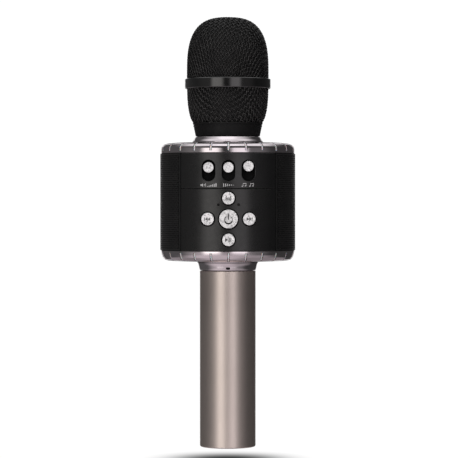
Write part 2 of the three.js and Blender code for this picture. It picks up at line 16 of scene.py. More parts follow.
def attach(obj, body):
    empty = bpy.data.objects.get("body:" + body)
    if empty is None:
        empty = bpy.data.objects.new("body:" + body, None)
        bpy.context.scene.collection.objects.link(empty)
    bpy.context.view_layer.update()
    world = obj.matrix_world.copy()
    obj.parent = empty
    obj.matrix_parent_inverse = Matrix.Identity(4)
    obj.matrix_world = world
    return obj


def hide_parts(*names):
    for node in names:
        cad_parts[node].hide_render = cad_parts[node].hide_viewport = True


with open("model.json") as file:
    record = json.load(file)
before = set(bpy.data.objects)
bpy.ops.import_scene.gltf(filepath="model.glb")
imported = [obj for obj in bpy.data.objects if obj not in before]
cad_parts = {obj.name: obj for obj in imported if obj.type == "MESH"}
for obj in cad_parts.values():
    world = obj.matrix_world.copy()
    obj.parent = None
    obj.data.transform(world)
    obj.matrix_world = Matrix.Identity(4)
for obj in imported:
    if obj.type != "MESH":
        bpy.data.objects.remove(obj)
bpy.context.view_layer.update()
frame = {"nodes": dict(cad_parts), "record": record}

MM = 0.001

# ---- sizes shared by several pieces ----

DRUM_R = 40.9
DRUM_MID = 148.25
PANEL_LOW, PANEL_SEAM, PANEL_HIGH = 119.2, 156.1, 177.25
PANEL_EDGE = 28.2  # half the panel's width, seen from the front
PANEL_WALL = 2.0
BEZEL_EDGE = 29.25  # from the drum's mid height to the edge of each bezel
LIGHT_SLOTS = 24
BUTTON_PITCH = 12.3
BUTTON_Z = 138.15
SLIDER_PITCH = 11.85
SLOT_Z, SLOT_WIDTH, SLOT_HEIGHT = 166.8, 7.8, 12.5
WIRE = 0.46  # diameter of the grille's wire
SWING = WIRE * 0.62  # how far each wire swings out of the cloth as it weaves
WEAVE = 2.25  # pitch of the wire cloth before it was drawn
WEAVE_TURN = math.radians(35)  # how far the cloth is turned from the front
FLOOR_Z = -8.0  # the floor lies under the microphone, which floats a little above it


# ---- meshes ----


def turns(count):
    """Equally spaced angles all the way round."""
    return [2 * math.pi * k / count for k in range(count)]


def polar(r, angle, x=0.0, y=0.0):
    """The flat point at a distance and an angle from x, y."""
    return (x + r * math.cos(angle), y + r * math.sin(angle))


def point_at(angle, r, z):
    """The point at an angle about Z, a radius and a height."""
    return (r * math.cos(angle), r * math.sin(angle), z)


def merge(*parts):
    """Several (vertices, faces) pairs as one."""
    vertices, faces = [], []
    for part_vertices, part_faces in parts:
        start = len(vertices)
        vertices += [tuple(v) for v in part_vertices]
        faces += [tuple(i + start for i in face) for face in part_faces]
    return vertices, faces


def grid(rows, size, closed=False):
    """The four-sided faces of vertices given row by row, with size vertices in each row."""
    faces = []
    for row in range(rows - 1):
        for j in range(size if closed else size - 1):
            a, b = row * size + j, row * size + (j + 1) % size
            faces.append((a, a + size, b + size, b))
    return faces


def moved(part, x=0.0, y=0.0):
    """A copy of a part, shifted sideways."""
    return [(a + x, b + y, c) for a, b, c in part[0]], part[1]


def to_front(part, x, z):
    """Turns a part built about Z so that its +Z points along -Y, then puts its axis at x, z."""
    return [(a + x, -c, b + z) for a, b, c in part[0]], part[1]


def under(part):
    """The part mirrored through the drum's mid height, with its faces turned back."""
    return [(a, b, 2 * DRUM_MID - c) for a, b, c in part[0]], [f[::-1] for f in part[1]]


def placed(name, data):
    """A new object in the scene."""
    made = bpy.data.objects.new(name, data)
    bpy.context.scene.collection.objects.link(made)
    return made


def piece(name, part, material, replaces=None, body="main_body", sharp=38, even=False):
    """Makes a named object from a part in millimetres, and ties it to the CAD frame.

    Edges sharper than the given angle, in degrees, stay crisp. Even normals keep large faces flat
    where they meet small rounded edges.
    """
    mesh = bpy.data.meshes.new(name)
    mesh.from_pydata([Vector(v) * MM for v in part[0]], [], part[1])
    mesh.validate()
    mesh.polygons.foreach_set("use_smooth", [True] * len(mesh.polygons))
    mesh.set_sharp_from_angle(angle=math.radians(sharp))
    mesh.materials.append(material)
    made = placed(name, mesh)
    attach(made, body)
    if replaces:
        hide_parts(replaces)
    if even:
        made.modifiers.new("even_normals", "WEIGHTED_NORMAL").keep_sharp = True
    return made


def rounded(corners, radius, closed=True, steps=4):
    """Rounds the corners of a profile. A corner may give its own radius as a third number."""
    points = []
    for i, corner in enumerate(corners):
        at = Vector(corner[:2])
        r = corner[2] if len(corner) > 2 else radius
        if r == 0 or (not closed and i in (0, len(corners) - 1)):
            points.append(tuple(at))
            continue
        before = Vector(corners[i - 1][:2]) - at
        after = Vector(corners[(i + 1) % len(corners)][:2]) - at
        reach = r / math.tan(before.angle(after) / 2)
        reach = min(reach, before.length * 0.48, after.length * 0.48)
        start = at + before.normalized() * reach
        end = at + after.normalized() * reach
        for k in range(steps + 1):
            t = k / steps
            point = start * (1 - t) ** 2 + at * 2 * t * (1 - t) + end * t * t
            points.append(tuple(point))
    return points


def lathe(profile, sides, closed=True):
    """A surface of revolution about Z. The profile's (r, z) points run counter-clockwise."""
    vertices, faces, rings = [], [], []
    for r, z in profile:
        start = len(vertices)
        if r < 1e-6:
            vertices.append((0, 0, z))
            rings.append([start] * sides)
            continue
        vertices += [point_at(angle, r, z) for angle in turns(sides)]
        rings.append(list(range(start, start + sides)))
    pairs = list(zip(rings, rings[1:] + rings[:1]))
    for low, high in pairs if closed else pairs[:-1]:
        for j in range(sides):
            k = (j + 1) % sides
            face = [low[j], low[k], high[k], high[j]]
            face = [v for n, v in enumerate(face) if v not in face[:n]]
            if len(face) > 2:
                faces.append(face)
    return vertices, faces


def turned(corners, radius, sides, rounding=4, closed=True):
    """A solid of revolution about Z whose profile has rounded corners."""
    return lathe(rounded(corners, radius, closed, rounding), sides, closed)


def turned_front(corners, radius, sides, x, z, rounding=4):
    """The same about an axis that points to the front at x, z, for a profile that starts on it."""
    return to_front(turned(corners, radius, sides, rounding, closed=False), x, z)


def prism(loop, low, high):
    """A flat outline in x, y (counter-clockwise) raised from one height to another."""
    n = len(loop)
    vertices = [(x, y, low) for x, y in loop] + [(x, y, high) for x, y in loop]
    walls = [(i, (i + 1) % n, n + (i + 1) % n, n + i) for i in range(n)]
    return vertices, [tuple(range(n))[::-1], tuple(range(n, 2 * n)), *walls]


def circle(x, y, r, steps=48):
    """A function that gives the circle's points, grown by some amount."""
    return lambda grow: [polar(r + grow, a, x, y) for a in turns(steps)]


def stadium(x, y, width, height, steps=24):
    """The same for an upright shape with round ends, or a lying one if it is wider than high."""
    r = min(width, height) / 2
    sx, sy = max(width / 2 - r, 0), max(height / 2 - r, 0)

    def points(grow):
        loop = []
        for k in range(2 * steps):
            a = math.pi * (k + 0.5) / steps
            side_x = math.copysign(sx, math.cos(a))
            side_y = math.copysign(sy, math.sin(a))
            loop.append(polar(r + grow, a, x + side_x, y + side_y))
        return loop

    return points


def rectangle(x0, y0, x1, y1, radius=0.4, across=24, up=14):
    """The same for a rectangle with small round corners and points along its sides."""
    corner_steps = 4

    def points(grow):
        a0, b0, a1, b1 = x0 - grow, y0 - grow, x1 + grow, y1 + grow
        r = max(radius + grow, 0.02)
        loop = []
        corners = [(a1 - r, b0 + r, -90), (a1 - r, b1 - r, 0), (a0 + r, b1 - r, 90),
                   (a0 + r, b0 + r, 180)]
        for i, (cx, cy, start) in enumerate(corners):
            for k in range(corner_steps + 1):
                loop.append(polar(r, math.radians(start + 90 / corner_steps * k), cx, cy))
            nx, ny, next_start = corners[(i + 1) % 4]
            goal = polar(r, math.radians(next_start), nx, ny)
            here = loop[-1]
            count = up if i % 2 == 0 else across
            for k in range(1, count):
                t = k / count
                loop.append((here[0] + (goal[0] - here[0]) * t, here[1] + (goal[1] - here[1]) * t))
        return loop

    return points


def inside(x, y, loop):
    """Whether a point is inside a closed outline."""
    found = False
    for (ax, ay), (bx, by) in zip(loop, loop[1:] + loop[:1]):
        if (ay > y) != (by > y) and x < (bx - ax) * (y - ay) / (by - ay) + ax:
            found = not found
    return found


def plate(outline, holes, place, wall, edge=0.3, spacing=2.2, steps=3):
    """A plate with holes whose edges are all rounded, laid on a surface by place(x, y, depth)."""
    border = outline(-edge)
    rims = [hole(edge) for hole in holes]
    flat, edges = [], []
    for loop in [border, *rims]:
        start = len(flat)
        flat += [Vector(p) for p in loop]
        edges += [(start + k, start + (k + 1) % len(loop)) for k in range(len(loop))]
    clearance = spacing * 0.3  # of the inner points from every edge
    near = [hole(edge + clearance) for hole in holes]
    inner = outline(-edge - clearance)
    left, low = (min(values) for values in zip(*border))
    right, high = (max(values) for values in zip(*border))
    across = math.ceil((right - left) / spacing)
    up = math.ceil((high - low) / spacing)
    for i in range(1, across):
        for j in range(1, up):
            x = left + (right - left) * i / across
            y = low + (high - low) * j / up
            if inside(x, y, inner) and not any(inside(x, y, loop) for loop in near):
                flat.append(Vector((x, y)))
    points, _, triangles, *_ = delaunay_2d_cdt(flat, edges, [], 0, 1e-6, False)
    vertices = [place(p.x, p.y, 0) for p in points]
    faces = []
    for face in triangles:
        x = sum(points[i].x for i in face) / 3
        y = sum(points[i].y for i in face) / 3
        if inside(x, y, border) and not any(inside(x, y, rim) for rim in rims):
            faces.append(tuple(face))
    parts = [(vertices, faces)]
    for loop, sign in [(outline, -1), *((hole, 1) for hole in holes)]:
        rows = [(sign * edge * (1 - math.sin(a)), edge * (1 - math.cos(a)))
                for a in (math.pi / 2 * k / steps for k in range(steps + 1))]
        rows.append((0, wall))
        rim = [place(x, y, depth) for grow, depth in rows for x, y in loop(grow)]
        rim_faces = grid(len(rows), len(rim) // len(rows), closed=True)
        parts.append((rim, [face[::-sign] for face in rim_faces]))
    return merge(*parts)


def on_drum(x, z, depth):
    """A point on the front of the drum, at x and z as seen from the front."""
    angle = math.asin(x / DRUM_R)
    r = DRUM_R - depth
    return (r * math.sin(angle), -r * math.cos(angle), z)


# ---- materials ----


class Nodes:
    """A node tree, with short calls for the nodes used here."""

    def __init__(self, tree):
        self.tree = tree

    def feed(self, target, value):
        """Links another node's output to an input, or sets the input to a number or a colour."""
        if isinstance(value, bpy.types.NodeSocket):
            self.tree.links.new(value, target)
        else:
            target.default_value = value

    def add(self, kind, inputs, **settings):
        node = self.tree.nodes.new(kind)
        for key, value in settings.items():
            setattr(node, key, value)
        for socket, value in inputs.items():
            self.feed(node.inputs[socket], value)
        return node

    def maths(self, operation, *values):
        inputs = dict(enumerate(values))
        return self.add("ShaderNodeMath", inputs, operation=operation).outputs[0]

    def spread(self, value, low, high, start=0.3, end=0.7, **settings):
        """The value mapped from start..end to low..high."""
        inputs = {"Value": value, "From Min": start, "From Max": end, "To Min": low, "To Max": high}
        return self.add("ShaderNodeMapRange", inputs, **settings).outputs["Result"]


class Shader(Nodes):
    """A material. Its textures lie in object space, with scales per metre and heights in metres."""

    def __init__(self, name, **values):
        self.material = bpy.data.materials.new(name)
        self.material.use_nodes = True
        super().__init__(self.material.node_tree)
        self.principled = self.tree.nodes["Principled BSDF"].inputs
        for socket, value in values.items():
            self.feed(self.principled[socket.replace("_", " ")], value)
        self.place = self.add("ShaderNodeTexCoord", {}).outputs["Object"]

    def stretched(self, x, y, z):
        """Object coordinates scaled along each axis."""
        inputs = {"Scale": (x, y, z), "Vector": self.place}
        return self.add("ShaderNodeMapping", inputs).outputs["Vector"]

    def noise(self, scale, detail=3.0, place=None):
        """Noise whose features are about 1000 / scale millimetres across."""
        inputs = {"Scale": scale, "Detail": detail, "Vector": place or self.place}
        return self.add("ShaderNodeTexNoise", inputs).outputs["Fac"]

    def cells(self, scale, feature="F1"):
        inputs = {"Scale": scale, "Vector": self.place}
        return self.add("ShaderNodeTexVoronoi", inputs, feature=feature).outputs["Distance"]

    def roughness(self, value, low, high):
        self.feed(self.principled["Roughness"], self.spread(value, low, high))

    def colour(self, value, first, second, start=0.3, end=0.7):
        """The base colour between two colours."""
        inputs = {"Factor": self.spread(value, 0, 1, start, end), "A": (*first, 1),
                  "B": (*second, 1)}
        mixed = self.add("ShaderNodeMix", inputs, data_type="RGBA")
        self.feed(self.principled["Base Color"], mixed.outputs["Result"])

    def bump(self, value, height, strength):
        inputs = {"Strength": strength, "Distance": height, "Height": value}
        self.feed(self.principled["Normal"], self.add("ShaderNodeBump", inputs).outputs["Normal"])


def uneven(name, rough, tint, relief=None, **values):
    """A material with its own noise in its roughness, its colour and its relief.

    rough is (scale, detail, low, high), tint (scale, detail, colour, colour) with the part of the
    noise that it covers, if not the middle, and relief (scale, detail, height, strength).
    """
    s = Shader(name, **values)
    s.roughness(s.noise(*rough[:2]), *rough[2:])
    s.colour(s.noise(*tint[:2]), *tint[2:])
    if relief:
        s.bump(s.noise(*relief[:2]), *relief[2:])
    return s.material


def grey(value):
    return (value, value, value)


def rose_plating():
    """Polished pinkish plating with faint hairlines round the axis."""
    s = Shader("rose_plating", Metallic=1.0)
    s.roughness(s.noise(160), 0.09, 0.15)
    s.colour(s.noise(40), (0.665, 0.61, 0.635), (0.705, 0.655, 0.68))
    s.bump(s.noise(1.0, 4, s.stretched(60, 60, 9000)), 0.000002, 0.5)
    return s.material


def satin_black(name="satin_black", rough=(0.46, 0.56), grain=0.00001, coat=0.0, shine=0.5):
    """Black moulded plastic with a fine spark-eroded grain."""
    s = Shader(name, Coat_Weight=coat, Coat_Roughness=0.2, Specular_IOR_Level=shine)
    s.roughness(s.noise(350, 4), *rough)
    s.colour(s.noise(60), (0.004, 0.004, 0.0043), grey(0.006))
    s.bump(s.cells(3800), grain, 0.5)
    return s.material


def steel():
    """Plain brushed steel."""
    s = Shader("brushed_steel", Metallic=1.0)
    brushed = s.noise(1.0, 5, s.stretched(300, 300, 6000))
    s.roughness(brushed, 0.26, 0.42)
    s.colour(s.noise(100), (0.50, 0.50, 0.51), grey(0.60))
    s.bump(brushed, 0.000004, 0.5)
    return s.material


def foam():
    """Open-cell foam, nearly black."""
    s = Shader("foam")
    pores = s.cells(1700)
    s.roughness(pores, 0.88, 1.0)
    # The colour is darker in the pits of the pores: painted shade.
    s.colour(pores, grey(0.003), grey(0.015), 0.1, 0.6)
    s.bump(pores, 0.0003, 0.8)
    return s.material


def circuit_board():
    """Green solder mask with darker track-like patches."""
    s = Shader("circuit_board")
    tracks = s.cells(420, "DISTANCE_TO_EDGE")
    s.roughness(s.noise(500), 0.3, 0.45)
    s.colour(tracks, (0.010, 0.085, 0.035), (0.016, 0.13, 0.055), 0.02, 0.06)
    s.bump(tracks, 0.00003, 0.3)
    return s.material


def paper_cone():
    """Pressed paper pulp with short fibres."""
    s = Shader("paper_cone")
    fibres = s.noise(1.0, 6, s.stretched(900, 3000, 3000))
    s.roughness(fibres, 0.85, 0.97)
    s.colour(fibres, (0.020, 0.018, 0.016), (0.045, 0.040, 0.036))
    s.bump(fibres, 0.00004, 0.6)
    return s.material


def ink(name, dark, light):
    """Printed ink, slightly uneven."""
    return uneven(name, (900, 3, 0.45, 0.6), (2500, 4, grey(dark), grey(light)))


def shrink_wrap(name, first, second):
    """Glossy coloured film or insulation."""
    return uneven(name, (250, 3, 0.25, 0.4), (80, 3, first, second), (500, 3, 0.00002, 0.3))


ROSE = rose_plating()
# Fine-blasted, anodised aluminium, warm grey.
CHAMPAGNE = uneven("champagne_anodising", (900, 4, 0.38, 0.44),
                   (30, 3, (0.72, 0.635, 0.585), (0.76, 0.67, 0.62)),
                   (5200, 2, 0.000004, 0.5), Metallic=1.0)
# Steel wire with a dark, blackened finish that is a little uneven.
WIRE_BLACK = uneven("black_wire", (1400, 4, 0.14, 0.26),
                    (260, 3, grey(0.05), (0.10, 0.10, 0.099)), (1400, 4, 0.00002, 0.5),
                    Metallic=1.0)
# Black painted sheet steel of the perforated grille.
SHEET_BLACK = uneven("black_sheet", (300, 3, 0.36, 0.48),
                     (120, 3, (0.006, 0.006, 0.0063), grey(0.010)), (2200, 3, 0.00001, 0.5),
                     Sheen_Weight=0.22, Sheen_Roughness=0.22)
# Glossy black moulding with the faint ripple of a moulded face.
GLOSS_BLACK = uneven("gloss_black", (200, 3, 0.14, 0.2), (90, 3, grey(0.003), grey(0.005)),
                     (120, 1, 0.00002, 0.35), Coat_Weight=0.8, Coat_Roughness=0.08)
PANEL_BLACK = satin_black("panel_black", (0.26, 0.34), 0.000006, 0.2)
BODY_BLACK = satin_black(shine=0.25)
SHADOW_BLACK = satin_black("carriage_black", (0.8, 0.95), 0.00003, shine=0.15)
# Bright silver lacquer with tiny flakes, on the knobs and buttons.
SILVER = uneven("silver_paint", (500, 3, 0.36, 0.46),
                (900, 3, (0.46, 0.46, 0.465), grey(1.0), 0.3, 0.54), (1300, 2, 0.00003, 0.6),
                Metallic=0.62)
ICON_INK = ink("icon_ink", 0.035, 0.07)
LABEL_INK = ink("label_ink", 0.32, 0.48)
# Milky diffuser plastic.
MILKY = uneven("milky_diffuser", (400, 3, 0.18, 0.28),
               (150, 3, (0.58, 0.56, 0.57), (0.66, 0.64, 0.65)), Subsurface_Weight=0.2,
               Subsurface_Scale=0.0006)
# Dark translucent plastic of the two indicator lamps.
SMOKED = uneven("smoked_lens", (600, 3, 0.1, 0.2), (300, 3, grey(0.006), (0.012, 0.010, 0.010)))
STEEL = steel()
FOAM = foam()
# Matt black rubber.
RUBBER = uneven("rubber", (600, 3, 0.62, 0.8), (200, 3, grey(0.012), grey(0.022)),
                (2500, 3, 0.00002, 0.4))

BY_SLOT = {
    "mesh_black": WIRE_BLACK,
    "band_black": GLOSS_BLACK,
    "body_black": BODY_BLACK,
    "panel_black": PANEL_BLACK,
    "rose_metal": ROSE,
    "champagne": CHAMPAGNE,
    "silver": SILVER,
    "light_guide": MILKY,
    "board_green": circuit_board(),
    "foam": FOAM,
    "rubber": RUBBER,
    "steel": STEEL,
    "paper": paper_cone(),
    "cell_wrap": shrink_wrap("cell_wrap", (0.02, 0.13, 0.42), (0.03, 0.17, 0.50)),
    "lead_red": shrink_wrap("lead_red", (0.30, 0.015, 0.012), (0.38, 0.02, 0.016)),
}


def finish_cad_nodes():
    """Gives every CAD node the material of its slot."""
    for subpart in frame["record"]["subparts"]:
        materials = frame["nodes"][subpart["node"]].data.materials
        materials.clear()
        materials.append(BY_SLOT[subpart["material_slot"]])


# ---- head: woven grille, band, collar, foam ----

DOME_R, DOME_FOOT, DOME_SHOULDER, DOME_TOP = 24.75, 220.2, 226.0, 260.0
DOME_POWER = 2.9  # of the superellipse that the dome follows above its shoulder
BASKET = [(21.15, 195.8), (21.3, 196.6), (22.0, 197.9), (22.8, 199.7), (23.65, 203.3),
          (24.2, 206.9), (24.55, 211.5), (24.75, 219.3)]
STEPS_PER_CROSSING = 4  # points along a wire from each wire it crosses to the next
WIRE_SIDES = 6
RIM_CLEARANCE = 0.2  # a wire that would lie nearer than this to the rim is left out
FOAM_GAP, FOAM_WALL, FOAM_FOOT = 0.15, 2.6, 196.4
FOAM_CROWN = 245.0  # above this the foam's inner face is moved down as well as inwards


def dome_meridian(inset, steps=60):
    """The dome's (r, z) points from its top to its foot, inset from the outside."""
    points = []
    for k in range(steps + 1):
        t = math.pi / 2 * (1 - k / steps)
        r = (DOME_R - inset) * math.cos(t) ** (2 / DOME_POWER) if k else 0.0
        z = (DOME_TOP - DOME_SHOULDER - inset) * math.sin(t) ** (2 / DOME_POWER)
        points.append((r, DOME_SHOULDER + z))
    return [*points, (DOME_R - inset, DOME_FOOT)]


def basket_meridian(inset):
    """The basket's (r, z) points from its axis, along its missing floor and up its wall."""
    return [(0, BASKET[0][1]), *((r - inset, z) for r, z in BASKET)]


class Drawn:
    """Wire cloth drawn over a meridian: a flat place (u, v) keeps its distance from the centre."""

    def __init__(self, meridian):
        points = np.array(meridian, float)
        steps = np.hypot(*np.diff(points, axis=0).T)
        self.reach = np.concatenate([[0], np.cumsum(steps)])
        self.r, self.z = points.T
        slope = np.gradient(points, self.reach, axis=0)
        slope /= np.hypot(*slope.T)[:, None]
        self.out, self.up = -slope[:, 1], slope[:, 0]

    def at(self, u, v):
        """Surface points and outward normals for arrays of flat places."""
        rho, phi = np.hypot(u, v), np.arctan2(v, u) + WEAVE_TURN
        r, z = np.interp(rho, self.reach, self.r), np.interp(rho, self.reach, self.z)
        out, up = np.interp(rho, self.reach, self.out), np.interp(rho, self.reach, self.up)
        around = np.stack([np.cos(phi), np.sin(phi)])
        normal = np.stack([around[0] * out, around[1] * out, up], 1)
        normal /= np.linalg.norm(normal, axis=1)[:, None]
        return np.stack([around[0] * r, around[1] * r, z], 1), normal


def wire_tube(centres, normals):
    """A closed tube along a wire's centre line."""
    along = np.gradient(centres, axis=0)
    along /= np.linalg.norm(along, axis=1)[:, None]
    across = np.cross(along, normals)
    across /= np.linalg.norm(across, axis=1)[:, None]
    up = np.cross(across, along)
    turn = 2 * np.pi * np.arange(WIRE_SIDES) / WIRE_SIDES
    ring = np.cos(turn)[None, :, None] * up[:, None] + np.sin(turn)[None, :, None] * across[:, None]
    vertices = (centres[:, None] + ring * WIRE / 2).reshape(-1, 3)
    faces = []
    for k in range(len(centres) - 1):
        for j in range(WIRE_SIDES):
            a, b = k * WIRE_SIDES + j, k * WIRE_SIDES + (j + 1) % WIRE_SIDES
            faces.append((a, b, b + WIRE_SIDES, a + WIRE_SIDES))
    last = (len(centres) - 1) * WIRE_SIDES
    faces.append(tuple(range(WIRE_SIDES))[::-1])
    faces.append(tuple(range(last, last + WIRE_SIDES)))
    return vertices.tolist(), faces


def woven(meridian, direction, open_middle):
    """The wires of one direction in a drawn wire cloth: 0 for warp and 1 for weft."""
    cloth = Drawn(meridian)
    first_reach = cloth.reach[1] if open_middle else 0
    limit = cloth.reach[-1]
    rows = int(limit / WEAVE)
    tubes = []
    for i in range(-rows, rows + 1):
        offset = (i + 0.5) * WEAVE
        if abs(offset) >= limit - RIM_CLEARANCE:
            continue
        end = math.sqrt(limit**2 - offset**2)
        spans = [(-end, end)]
        if abs(offset) < first_reach:
            start = math.sqrt(first_reach**2 - offset**2)
            spans = [(-end, -start), (start, end)]
        side = 1 if i % 2 == direction else -1
        for a, b in spans:
            count = max(int((b - a) / WEAVE * STEPS_PER_CROSSING), 3)
            along = np.linspace(a, b, count)
            across = np.full(count, offset)
            u, v = (across, along) if direction == 0 else (along, across)
            points, normals = cloth.at(u, v)
            lift = side * SWING * np.sin(np.pi * along / WEAVE)
            tubes.append(wire_tube(points + normals * lift[:, None], normals))
    return merge(*tubes)


def make_head():
    """Everything that turns with the head, and the foam that rises with it."""
    parts = {"dome": (dome_meridian(WIRE), False), "basket": (basket_meridian(WIRE), True)}
    for direction, name in enumerate(("warp", "weft")):
        for part, (meridian, open_middle) in parts.items():
            piece(f"{part}_{name}", woven(meridian, direction, open_middle), WIRE_BLACK,
                  f"grille_{part}", body="head_grille", sharp=80)

    band = turned([
        (24.85, 216.75), (25.7, 216.75), (26.05, 217.15), (26.05, 222.3), (25.7, 222.7),
        (24.85, 222.7),
    ], 0.22, 192)
    piece("head_band", band, GLOSS_BLACK, "grille_band", body="head_grille",
          even=True)

    collar = turned([
        (17.55, 187.95), (19.35, 187.95), (19.5, 188.3), (20.55, 193.2), (20.55, 193.6, 0.1),
        (20.85, 193.75), (20.85, 194.5), (20.65, 194.65, 0.1), (20.65, 194.95, 0.1),
        (21.05, 195.1), (21.05, 196.1), (20.6, 196.2), (17.55, 196.2),
    ], 0.12, 160)
    piece("head_collar_turned", collar, BODY_BLACK, "head_collar", body="head_grille",
          even=True)

    inset = 2 * WIRE + FOAM_GAP
    outside = dome_meridian(inset)[:-1]
    outside += [(r - inset, z) for r, z in BASKET[::-1] if z > FOAM_FOOT]
    inside_face = [(max(r - FOAM_WALL, 0), z - (FOAM_WALL if z > FOAM_CROWN else 0))
                   for r, z in outside]
    profile = [(17.9, FOAM_FOOT), (20.0, FOAM_FOOT), *outside[::-1], *inside_face]
    liner = piece("foam_windshield", lathe(profile, 72), FOAM, "foam_liner",
                  body="head_lift")


def thread(r, depth, pitch, low, high, steps_per_turn=72):
    """A trapezoidal ridge that winds up round a cylinder and fades out at both ends."""
    count = int((high - low) / pitch * steps_per_turn)
    fade_steps = steps_per_turn / 4
    foot, foot_half, crest_half = r - 0.1, 0.32 * pitch, 0.14 * pitch
    vertices = []
    for k in range(count + 1):
        angle = 2 * math.pi * k / steps_per_turn
        z = low + pitch * k / steps_per_turn
        crest = r + depth * min(1, k / fade_steps, (count - k) / fade_steps)
        for radius, dz in ((foot, -foot_half), (crest, -crest_half), (crest, crest_half),
                           (foot, foot_half)):
            vertices.append(point_at(angle, radius, z + dz))
    return vertices, grid(count + 1, 4)


def make_neck():
    """The polished ring under the head, and the threaded neck that the head screws on to."""
    ring = turned([
        (17.8, 184.0), (21.6, 184.0, 0.1), (21.6, 184.35, 0.15), (21.45, 184.75, 0.3),
        (20.55, 185.9, 2.0), (19.75, 187.35, 0.2), (19.5, 187.62, 0.1), (17.8, 187.62),
    ], 0.1, 160, rounding=6)
    piece("neck_flare", ring, ROSE, "neck_ring", even=True)
    neck = turned([
        (15, 180.5), (20.9, 180.5), (20.9, 181.9), (16.5, 181.9), (16.5, 194.8), (16.0, 195.35),
        (6.0, 195.35), (6.0, 193.9), (15, 193.9),
    ], 0.15, 96)
    ridge = thread(r=16.5, depth=0.65, pitch=2.0, low=187.0, high=193.8)
    piece("threaded_neck", merge(neck, ridge), BODY_BLACK, "neck_post")


# ---- drum: bezels with light slots, perforated grille, panels ----

BEZEL_TOP = DRUM_MID + BEZEL_EDGE + 6.4
BEZEL_LOW = DRUM_MID + BEZEL_EDGE + 0.05
SLOT_HALF_ANGLE = 0.75 / 40.5  # half the width of a light slot, as an angle
SLOT_DEPTH = 1.3
SLOT_START = BEZEL_LOW + 1.0
SLOT_END_R = 32.9
BAR_TOP, BAR_FOOT = 0.16, 1.25  # depths of a light bar's faces under the plating
BAR_WIDTH = 0.52  # as a share of the slot's width
BAR_RAISE = 0.06  # keeps the outer end of a bar clear of the end of its slot


def bezel_outside(wall, shoulder, hub):
    """A bezel's outer profile: its wall, its shoulder, and its flat face as far in as the hub.

    The wall's heights are measured up from the bezel's edge and the shoulder's down from its face.
    """
    return rounded([
        (39.4, BEZEL_LOW, 0), *((r, BEZEL_LOW + up, radius) for r, up, radius in wall),
        *((r, BEZEL_TOP - down, radius) for r, down, radius in shoulder),
        (30.0, BEZEL_TOP - 0.02, 0), (24.0, BEZEL_TOP, 0), (hub, BEZEL_TOP, 0),
    ], 0.2, closed=False, steps=5)


UPPER_OUTSIDE = bezel_outside(
    [(40.5, 0, 0.12), (40.53, 1.1, 0), (40.5, 2.6, 0.2), (40.22, 3.75, 0.3), (39.2, 5.1, 1.2)],
    [(36.6, 0.42, 3.0), (33.0, 0.08, 0)], 19.0)
LOWER_OUTSIDE = bezel_outside(
    [(40.6, 0, 0.12), (40.42, 1.05, 0), (40.12, 2.4, 1.0), (39.65, 3.9, 1.6), (38.7, 5.4, 1.6)],
    [(36.2, 0.2, 2.5), (33.0, 0.04, 0)], 16.3)


def offset_inwards(profile, depth):
    """A profile moved inwards along its normals."""
    points = np.array(profile, float)
    slope = np.gradient(points, axis=0)
    slope /= np.hypot(*slope.T)[:, None]
    return [(r - out * depth, z + up * depth)
            for (r, z), out, up in zip(profile, slope[:, 1], slope[:, 0])]


def slot_span(outside):
    """The first and last profile points of the light slots."""
    first = next(i for i, (r, z) in enumerate(outside) if z > SLOT_START)
    last = max(i for i, (r, z) in enumerate(outside) if r > SLOT_END_R)
    return first, last


def slotted_bezel(outside):
    """The bezel's outer skin with a slot left open at each light, and the slots' walls."""
    first, last = slot_span(outside)
    deep = offset_inwards(outside, SLOT_DEPTH)
    between = 7  # steps from one slot to the next
    sector = 2 * math.pi / LIGHT_SLOTS
    span = sector - 2 * SLOT_HALF_ANGLE
    columns = []
    for n in range(LIGHT_SLOTS):
        middle = -math.pi / 2 + n * sector
        columns.append(middle - SLOT_HALF_ANGLE)
        columns += [middle + SLOT_HALF_ANGLE + span * k / between for k in range(between)]
    vertices = [point_at(angle, r, z) for angle in columns for r, z in outside]
    faces = []
    size = len(outside)
    for c in range(len(columns)):
        here, after = c * size, (c + 1) % len(columns) * size
        for i in range(size - 1):
            if c % (between + 1) == 0 and first <= i < last:
                continue
            faces.append((here + i, after + i, after + i + 1, here + i + 1))
    for c in range(0, len(columns), between + 1):
        walls = []
        for column in (c, c + 1):
            top = [column * size + i for i in range(first, last + 1)]
            low = list(range(len(vertices), len(vertices) + len(top)))
            vertices += [point_at(columns[column], *deep[i]) for i in range(first, last + 1)]
            walls.append((top, low))
            for i in range(len(top) - 1):
                face = (top[i], top[i + 1], low[i + 1], low[i])
                faces.append(face if column == c else face[::-1])
        (top_a, low_a), (top_b, low_b) = walls
        faces.append((top_a[0], low_a[0], low_b[0], top_b[0]))
        faces.append((top_a[-1], top_b[-1], low_b[-1], low_a[-1]))
    return vertices, faces


